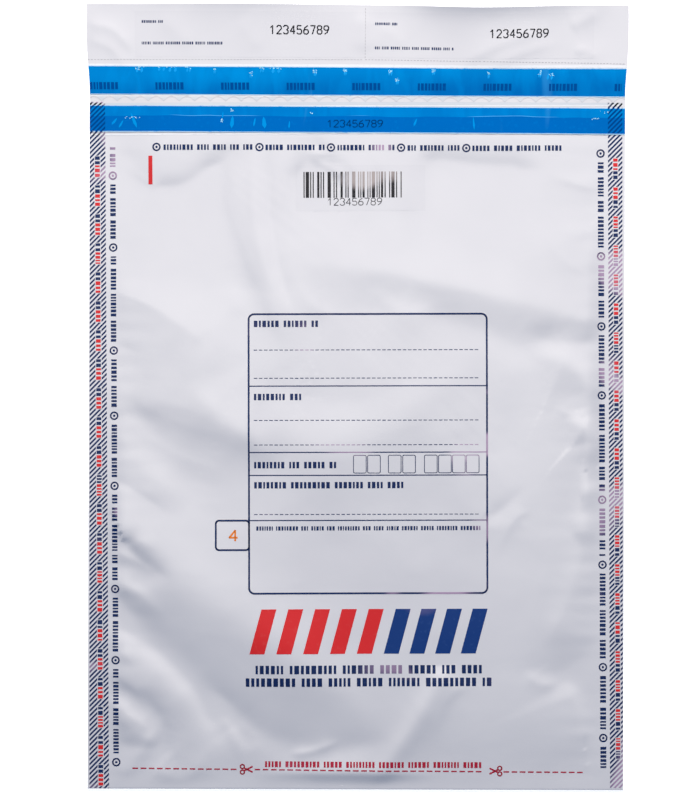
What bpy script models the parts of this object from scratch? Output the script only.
"""Poly mailer bag, empty and lying flat with its printed face up.

One web of film is folded across the bottom of the bag. The back layer runs on past the
mouth as a flap with a tear-off receipt strip, and the front layer ends in a scalloped lip.
Welds down both sides join the layers, so the pocket is open at the mouth alone. A sealing
tape lies on the flap and another under the lip, each a liner strip over the film.

Metres, +Z up. +X runs across the bag, and +Y from the folded bottom to the receipt strip.
The origin is at the middle of the outline, on the surface that the bag lies on.
"""
import math
from dataclasses import dataclass

import bmesh
import bpy

# Film web
BAG_WIDTH = 0.265
POCKET_LENGTH = 0.342
FILM_THICKNESS = 0.00008
FLAP_FLARE = 0.0014
FLAP_FLARE_LENGTH = 0.030

# Room between the layers where the pocket lies flat, and the most that its front lifts
LAYER_GAP = 0.0002
PILLOW_LIFT = 0.0013
MOST_LIFT = 0.0035
MOUTH_LIFT = 0.0007
MOUTH_CALM_LENGTH = 0.028

# Side welds: their width, and how far the film beside one takes to lift
WELD_WIDTH = 0.0074
WELD_TRIM = 0.0003
WELD_CLEAR = 0.0009
WELD_FADE = 0.013
FOLD_FADE = 0.016

# Scalloped lip of the front layer
SCALLOP_PITCH = 0.0077
SCALLOP_DEPTH = 0.0023

# Receipt strip and its perforations
RECEIPT_LENGTH = 0.029
RECEIPT_SPLIT_OFFSET = 0.0042
SLOT_LENGTH = 0.0016
SLOT_WIDTH = 0.0004
SLOT_PITCH = 0.0032
FLAP_EDGE_LIFT = 0.0016
FLAP_WAVE_LENGTH = 0.118

# Sealing tapes, with the bare film between each and its neighbours
FLAP_TAPE_WIDTH = 0.0143
FLAP_TAPE_TO_SCALLOPS = 0.0004
FLAP_TAPE_TO_PERFORATION = 0.0020
MOUTH_TAPE_WIDTH = 0.0132
MOUTH_TAPE_TO_LIP = 0.0027
LINER_THICKNESS = 0.00006
ADHESIVE_THICKNESS = 0.00008
ADHESIVE_WIDTH = 0.0080
ADHESIVE_INSET = 0.0004
LAYING_CLEARANCE = 0.00025

# Mesh steps
COLUMN_STEP = 0.0070
FRONT_ROW_STEP = 0.0074
BACK_ROW_STEP = 0.056
TURN_STEPS = 4
SCALLOP_STEPS = 6
CREASE_STEPS = 8
CUTTER_REACH = 0.004

COLLECTION_NAME = "poly_mailer_bag"


@dataclass(frozen=True)
class Crease:
    """A soft fold in the front layer.

    It passes its three points, given in shares of the pocket: across from -1 at the left
    weld to 1 at the right one, and along from 0 at the bottom fold to 1 at the lip. It
    rises as a ridge, or sinks as a valley where rise is below zero. The flanks are the
    widths of its slopes to the left and the right of the way from start to end.
    """

    start: tuple[float, float]
    middle: tuple[float, float]
    end: tuple[float, float]
    rise: float
    left_flank: float
    right_flank: float


# Ridges and valleys of the front, from the mouth down the left side and then the right
CREASES = (
    Crease((-0.82, 0.88), (-0.66, 0.88), (-0.49, 0.93), -0.0011, 0.010, 0.006),
    Crease((0.23, 0.92), (0.45, 0.91), (0.68, 0.90), -0.0010, 0.009, 0.006),
    Crease((-0.39, 0.93), (-0.38, 0.82), (-0.30, 0.72), 0.0010, 0.006, 0.006),
    Crease((-0.60, 0.86), (-0.43, 0.78), (-0.34, 0.70), -0.0013, 0.008, 0.014),
    Crease((-0.23, 0.77), (0.21, 0.75), (1.00, 0.67), 0.0023, 0.009, 0.026),
    Crease((-0.97, 0.72), (-0.76, 0.71), (-0.58, 0.66), 0.0015, 0.013, 0.014),
    Crease((-0.97, 0.57), (-0.66, 0.55), (-0.43, 0.52), 0.0018, 0.010, 0.009),
    Crease((-0.96, 0.55), (-0.68, 0.50), (-0.41, 0.46), -0.0013, 0.009, 0.016),
    Crease((-0.97, 0.38), (-0.86, 0.35), (-0.75, 0.31), -0.0013, 0.009, 0.007),
    Crease((-0.97, 0.33), (-0.64, 0.24), (-0.33, 0.13), 0.0012, 0.022, 0.012),
    Crease((-0.97, 0.28), (-0.66, 0.18), (-0.33, 0.07), -0.0019, 0.014, 0.009),
    Crease((-0.97, 0.20), (-0.79, 0.14), (-0.61, 0.08), 0.0021, 0.011, 0.008),
    Crease((-0.97, 0.14), (-0.82, 0.11), (-0.67, 0.07), -0.0012, 0.007, 0.007),
    Crease((0.10, 0.05), (0.22, 0.10), (0.33, 0.15), 0.0012, 0.007, 0.007),
    Crease((0.14, 0.03), (0.26, 0.08), (0.39, 0.13), -0.0014, 0.008, 0.011),
    Crease((0.68, 0.64), (0.83, 0.62), (0.99, 0.60), 0.0018, 0.007, 0.010),
    Crease((0.80, 0.55), (0.90, 0.53), (0.99, 0.51), 0.0012, 0.007, 0.009),
    Crease((0.80, 0.35), (0.73, 0.27), (0.71, 0.20), 0.0011, 0.010, 0.010),
    Crease((0.70, 0.20), (0.84, 0.22), (0.99, 0.23), 0.0015, 0.012, 0.008),
    Crease((0.71, 0.18), (0.84, 0.18), (0.99, 0.18), -0.0014, 0.008, 0.009),
)


def flap_length() -> float:
    """From the deepest points of the lip to the free edge: all that lies there in a row."""
    tape = FLAP_TAPE_TO_SCALLOPS + FLAP_TAPE_WIDTH + FLAP_TAPE_TO_PERFORATION
    return SCALLOP_DEPTH + tape + RECEIPT_LENGTH


def bottom_y() -> float:
    """The outside of the bottom fold."""
    return -(POCKET_LENGTH + flap_length()) / 2


def lip_y() -> float:
    """The deepest points between the lip's scallops."""
    return bottom_y() + POCKET_LENGTH


def top_y() -> float:
    """The free edge of the receipt strip."""
    return lip_y() + flap_length()


def perforation_y() -> float:
    """The line along which the receipt strip tears off."""
    return top_y() - RECEIPT_LENGTH


def flap_tape_span() -> tuple[float, float]:
    """The flap tape's edges, from the perforation down."""
    high = perforation_y() - FLAP_TAPE_TO_PERFORATION
    return high, high - FLAP_TAPE_WIDTH


def mouth_tape_span() -> tuple[float, float]:
    """The release liner's edges, from the pocket up."""
    high = lip_y() - MOUTH_TAPE_TO_LIP
    return high - MOUTH_TAPE_WIDTH, high


def adhesive_span() -> tuple[float, float]:
    """The adhesive bed's edges, near the liner's lower edge."""
    low = mouth_tape_span()[0] + ADHESIVE_INSET
    return low, low + ADHESIVE_WIDTH


def turn_radius() -> float:
    """The radius of the bottom fold, to the middle of the film."""
    return (LAYER_GAP + FILM_THICKNESS) / 2


def pocket_half_width() -> float:
    """From the bag's middle to the inner edge of a weld."""
    return BAG_WIDTH / 2 - WELD_WIDTH


def eased(share: float) -> float:
    """0 up to a share of 0 and 1 from a share of 1, with no kink between."""
    held = min(1.0, max(0.0, share))
    return held * held * (3 - 2 * held)


def steps_between(start: float, end: float, longest: float) -> list[float]:
    """Evenly spaced values from start to end, both included, no further apart than longest."""
    count = max(1, math.ceil(abs(end - start) / longest - 1e-6))
    return [start + (end - start) * i / count for i in range(count + 1)]


def crease_line(crease: Crease) -> list[tuple[float, float]]:
    """The crease's points in metres, on one smooth curve through its three."""
    line = []
    for i in range(CREASE_STEPS + 1):
        t = i / CREASE_STEPS
        weights = (2 * t * t - 3 * t + 1, 4 * t * (1 - t), 2 * t * t - t)
        points = (crease.start, crease.middle, crease.end)
        across = sum(w * p[0] for w, p in zip(weights, points))
        along = sum(w * p[1] for w, p in zip(weights, points))
        line.append((across * pocket_half_width(), bottom_y() + along * POCKET_LENGTH))
    return line


def crease_rise(line: list[tuple[float, float]], crease: Crease, x: float, y: float) -> float:
    """How far one crease lifts the front at a place: most on its line, less to its ends."""
    nearest = math.inf
    found = (0.0, 0.0)
    for i, (start, end) in enumerate(zip(line, line[1:])):
        dx = end[0] - start[0]
        dy = end[1] - start[1]
        t = ((x - start[0]) * dx + (y - start[1]) * dy) / (dx * dx + dy * dy)
        held = min(1.0, max(0.0, t))
        away = math.hypot(x - start[0] - held * dx, y - start[1] - held * dy)
        if away < nearest:
            nearest = away
            side = dx * (y - start[1]) - dy * (x - start[0])
            found = (side, (i + held) / CREASE_STEPS)
    side, share = found
    flank = crease.left_flank if side > 0 else crease.right_flank
    fade = eased(4 * share) if abs(crease.start[0]) < 0.9 else 1.0
    fade *= eased(4 * (1 - share)) if abs(crease.end[0]) < 0.9 else 1.0
    return crease.rise * fade * math.exp(-((nearest / flank) ** 2))


CREASE_LINES = tuple((crease, crease_line(crease)) for crease in CREASES)


def pocket_lift(x: float, y: float) -> float:
    """How far the front layer lies above its lowest, flat place."""
    free = eased((pocket_half_width() - abs(x)) / WELD_FADE)
    free *= eased((y - bottom_y()) / FOLD_FADE)
    calm = eased((lip_y() - y) / MOUTH_CALM_LENGTH)
    raised = PILLOW_LIFT + sum(crease_rise(line, c, x, y) for c, line in CREASE_LINES)
    raised = MOST_LIFT * math.tanh(max(0.0, raised) / MOST_LIFT)
    return free * (calm * raised + (1 - calm) * MOUTH_LIFT)


def front_z(x: float, y: float) -> float:
    """The middle of the front film."""
    return FILM_THICKNESS / 2 + 2 * turn_radius() + pocket_lift(x, y)


def back_z(x: float, y: float) -> float:
    """The middle of the back film: flat under the pocket, in low waves to the flap's edge."""
    start = lip_y() + SCALLOP_DEPTH
    share = max(0.0, (y - start) / (top_y() - start))
    wave = 0.5 - 0.5 * math.cos(2 * math.pi * x / FLAP_WAVE_LENGTH)
    return FILM_THICKNESS / 2 + FLAP_EDGE_LIFT * share * share * wave


def flared(x: float, y: float) -> float:
    """The flap isn't welded, so it spreads a little past the pocket's width."""
    spread = FLAP_FLARE * eased((y - lip_y() - SCALLOP_DEPTH) / FLAP_FLARE_LENGTH)
    return x * (1 + 2 * spread / BAG_WIDTH)


def columns() -> list[float]:
    """Places across the film: its edges, the pocket's own, and even steps between."""
    reach = pocket_half_width() - WELD_CLEAR
    return [-BAG_WIDTH / 2, *steps_between(-reach, reach, COLUMN_STEP), BAG_WIDTH / 2]


def flap_rows() -> list[float]:
    """Places along the flap, from its free edge to the lip, with the tape's edges."""
    high, low = flap_tape_span()
    rows = steps_between(top_y(), high, FRONT_ROW_STEP)
    rows += steps_between(high, low, FRONT_ROW_STEP)[1:]
    return rows + [lip_y() + SCALLOP_DEPTH]


def mouth_rows() -> list[float]:
    """Places along the front under the lip, with the tape's and the adhesive's edges."""
    low, high = mouth_tape_span()
    bed_low, bed_high = adhesive_span()
    return [low, bed_low, *steps_between(bed_low, bed_high, FRONT_ROW_STEP / 2)[1:], high]


def film_rows() -> list[list[tuple[float, float, float]]]:
    """The whole web, row by row, from the flap's free edge round the fold to the lip."""
    turn_y = bottom_y() + turn_radius() + FILM_THICKNESS / 2
    turn_z = FILM_THICKNESS / 2 + turn_radius()
    pocket_back = steps_between(lip_y() + SCALLOP_DEPTH, turn_y, BACK_ROW_STEP)[1:]
    rows = [
        [(flared(x, y), y, back_z(x, y)) for x in columns()]
        for y in flap_rows() + pocket_back
    ]
    for step in range(1, TURN_STEPS):
        angle = math.pi * step / TURN_STEPS
        y = turn_y - turn_radius() * math.sin(angle)
        z = turn_z - turn_radius() * math.cos(angle)
        rows.append([(x, y, z) for x in columns()])
    front = steps_between(turn_y, mouth_rows()[0], FRONT_ROW_STEP)[:-1]
    front += mouth_rows() + [lip_y() + SCALLOP_DEPTH + CUTTER_REACH / 2]
    rows += [[(x, y, front_z(x, y)) for x in columns()] for y in front]
    return rows


def tape_rows(places: list[float], film_z, rise: float) -> list[list[tuple[float, float, float]]]:
    """Rows of a strip that follows the film, with its middle that far above the film's."""
    return [[(flared(x, y), y, film_z(x, y) + rise) for x in columns()] for y in places]


def clear_scene() -> None:
    """Removes the objects that the scene starts with."""
    for obj in list(bpy.data.objects):
        bpy.data.objects.remove(obj, do_unlink=True)


def new_collection(name: str) -> bpy.types.Collection:
    """A collection of that name in the scene."""
    collection = bpy.data.collections.new(name)
    bpy.context.scene.collection.children.link(collection)
    return collection


def plastic(name: str, colour: tuple[float, float, float], roughness: float) -> bpy.types.Material:
    """A plain plastic of one colour."""
    material = bpy.data.materials.new(name)
    material.use_nodes = True
    shader = material.node_tree.nodes["Principled BSDF"]
    shader.inputs["Base Color"].default_value = (*colour, 1.0)
    shader.inputs["Roughness"].default_value = roughness
    shader.inputs["Metallic"].default_value = 0.0
    return material


def mesh_object(name: str, bm: bmesh.types.BMesh, collection: bpy.types.Collection) -> bpy.types.Object:
    """An object that holds the mesh, in that collection."""
    mesh = bpy.data.meshes.new(name)
    bm.to_mesh(mesh)
    bm.free()
    obj = bpy.data.objects.new(name, mesh)
    collection.objects.link(obj)
    return obj


def laid_sheet(name: str, rows, thickness: float, material, collection) -> bpy.types.Object:
    """A grid laid through the rows' points and thickened to both sides."""
    bm = bmesh.new()
    bmesh.ops.create_grid(bm, x_segments=len(rows[0]) - 1, y_segments=len(rows) - 1, size=1.0)
    ordered = sorted(bm.verts, key=lambda v: (round(v.co.y, 5), v.co.x))
    places = [place for row in rows for place in row]
    for vert, place in zip(ordered, places):
        vert.co = place
    bmesh.ops.triangulate(bm, faces=bm.faces[:], quad_method="FIXED")
    obj = mesh_object(name, bm, collection)
    obj.data.materials.append(material)
    obj.data.shade_smooth()
    solidify = obj.modifiers.new("Thickness", "SOLIDIFY")
    solidify.thickness = thickness
    solidify.offset = 0.0
    solidify.use_even_offset = True
    return obj


def block(name: str, low, high, collection: bpy.types.Collection) -> bpy.types.Object:
    """A box between two corners."""
    bm = bmesh.new()
    add_block(bm, low, high)
    return mesh_object(name, bm, collection)


def add_block(bm: bmesh.types.BMesh, low, high) -> None:
    """Adds a box between two corners to a mesh."""
    made = bmesh.ops.create_cube(bm, size=1.0)
    for vert in made["verts"]:
        for axis in range(3):
            share = vert.co[axis] + 0.5
            vert.co[axis] = low[axis] + share * (high[axis] - low[axis])


def as_cutter(obj: bpy.types.Object) -> bpy.types.Object:
    """Keeps a helper shape out of the render and shows it as wires."""
    obj.hide_render = True
    obj.display_type = "WIRE"
    return obj


def combine(obj: bpy.types.Object, helper: bpy.types.Object, operation: str) -> None:
    """Adds a Boolean with the helper shape to an object."""
    boolean = obj.modifiers.new(f"{operation.title()} {helper.name}", "BOOLEAN")
    boolean.operation = operation
    boolean.solver = "EXACT"
    boolean.object = helper


def side_weld(name: str, side: int, helpers: bpy.types.Collection) -> bpy.types.Object:
    """The fused film of one side, from the middle of one layer to the middle of the other."""
    outer = side * (BAG_WIDTH / 2 - WELD_TRIM)
    inner = side * pocket_half_width()
    low_z = FILM_THICKNESS / 2
    low = (min(outer, inner), bottom_y() + WELD_CLEAR, low_z)
    high = (max(outer, inner), lip_y() - WELD_TRIM, low_z + 2 * turn_radius())
    return as_cutter(block(name, low, high, helpers))


def scallop_points() -> list[tuple[float, float]]:
    """The lip's edge, a row of arches that meet in cusps, with the middle of one at x = 0."""
    reach = BAG_WIDTH / 2 + SCALLOP_PITCH
    arches = math.ceil(reach / SCALLOP_PITCH)
    first = -(arches + 0.5) * SCALLOP_PITCH
    points = []
    for step in range((2 * arches + 1) * SCALLOP_STEPS + 1):
        turn = math.pi * step / SCALLOP_STEPS
        x = first + step * SCALLOP_PITCH / SCALLOP_STEPS
        points.append((x, lip_y() + SCALLOP_DEPTH * abs(math.sin(turn))))
    return points


def lip_cutter(helpers: bpy.types.Collection) -> bpy.types.Object:
    """What is cut off past the lip: it stands clear of the back film."""
    edge = scallop_points()
    far_y = lip_y() + SCALLOP_DEPTH + CUTTER_REACH
    outline = [*edge, (edge[-1][0], far_y), (edge[0][0], far_y)]
    curve = bpy.data.curves.new("lip_outline", "CURVE")
    curve.dimensions = "2D"
    curve.fill_mode = "BOTH"
    curve.extrude = CUTTER_REACH / 2
    spline = curve.splines.new("POLY")
    spline.points.add(len(outline) - 1)
    for point, (x, y) in zip(spline.points, outline):
        point.co = (x, y, 0.0, 1.0)
    spline.use_cyclic_u = True
    guide = bpy.data.objects.new("lip_outline", curve)
    guide.location.z = FILM_THICKNESS + LAYER_GAP / 2 + CUTTER_REACH / 2
    helpers.objects.link(guide)
    bpy.context.view_layer.update()
    depsgraph = bpy.context.evaluated_depsgraph_get()
    mesh = bpy.data.meshes.new_from_object(guide.evaluated_get(depsgraph))
    bm = bmesh.new()
    bm.from_mesh(mesh)
    bmesh.ops.remove_doubles(bm, verts=bm.verts[:], dist=1e-6)
    bmesh.ops.recalc_face_normals(bm, faces=bm.faces[:])
    cutter = mesh_object("lip_cut", bm, helpers)
    cutter.matrix_world = guide.matrix_world.copy()
    bpy.data.objects.remove(guide, do_unlink=True)
    return as_cutter(cutter)


def perforation_cutter(helpers: bpy.types.Collection) -> bpy.types.Object:
    """Slots along the tear line and up the line that halves the receipt strip."""
    bm = bmesh.new()
    low_z = -CUTTER_REACH
    high_z = CUTTER_REACH + FLAP_EDGE_LIFT
    half_long = SLOT_LENGTH / 2
    half_wide = SLOT_WIDTH / 2
    reach = math.floor((BAG_WIDTH / 2 - SLOT_LENGTH) / SLOT_PITCH - 0.5)
    for step in range(-reach - 1, reach + 1):
        x = (step + 0.5) * SLOT_PITCH
        low = (x - half_long, perforation_y() - half_wide, low_z)
        add_block(bm, low, (x + half_long, perforation_y() + half_wide, high_z))
    up_steps = math.floor((RECEIPT_LENGTH - SLOT_LENGTH) / SLOT_PITCH)
    for step in range(up_steps):
        y = perforation_y() + (step + 1) * SLOT_PITCH
        low = (RECEIPT_SPLIT_OFFSET - half_wide, y - half_long, low_z)
        add_block(bm, low, (RECEIPT_SPLIT_OFFSET + half_wide, y + half_long, high_z))
    return as_cutter(mesh_object("perforation_cut", bm, helpers))


def build_film(parts: bpy.types.Collection, helpers: bpy.types.Collection) -> None:
    """The folded web, welded, with its lip and its perforations cut."""
    white = plastic("white_film", (0.78, 0.79, 0.83), 0.34)
    film = laid_sheet("bag_film", film_rows(), FILM_THICKNESS, white, parts)
    combine(film, side_weld("left_weld", -1, helpers), "UNION")
    combine(film, side_weld("right_weld", 1, helpers), "UNION")
    combine(film, lip_cutter(helpers), "DIFFERENCE")
    combine(film, perforation_cutter(helpers), "DIFFERENCE")


def build_flap_tape(parts: bpy.types.Collection) -> None:
    """The security tape on the flap, which closes onto the adhesive under the lip."""
    blue = plastic("blue_security_tape", (0.0, 0.22, 0.66), 0.18)
    rise = FILM_THICKNESS / 2 + LAYING_CLEARANCE + LINER_THICKNESS / 2
    high, low = flap_tape_span()
    places = steps_between(high, low, FRONT_ROW_STEP)
    rows = tape_rows(places, back_z, rise)
    laid_sheet("flap_security_tape", rows, LINER_THICKNESS, blue, parts)


def build_mouth_tape(parts: bpy.types.Collection) -> None:
    """The adhesive bed under the lip and the release liner that covers it."""
    tacky = plastic("blue_adhesive", (0.0, 0.14, 0.50), 0.25)
    bed_rise = FILM_THICKNESS / 2 + LAYING_CLEARANCE + ADHESIVE_THICKNESS / 2
    bed_low, bed_high = adhesive_span()
    places = [y for y in mouth_rows() if bed_low - 1e-6 < y < bed_high + 1e-6]
    rows = tape_rows(places, front_z, bed_rise)
    laid_sheet("mouth_adhesive_bed", rows, ADHESIVE_THICKNESS, tacky, parts)

    blue = plastic("blue_release_liner", (0.0, 0.20, 0.62), 0.16)
    liner_rise = bed_rise + (ADHESIVE_THICKNESS + LINER_THICKNESS) / 2 + LAYING_CLEARANCE
    rows = tape_rows(mouth_rows(), front_z, liner_rise)
    laid_sheet("mouth_release_liner", rows, LINER_THICKNESS, blue, parts)


def main() -> None:
    """Builds the bag and its tapes."""
    clear_scene()
    parts = new_collection(COLLECTION_NAME)
    helpers = new_collection("cutters")
    build_film(parts, helpers)
    build_flap_tape(parts)
    build_mouth_tape(parts)


main()
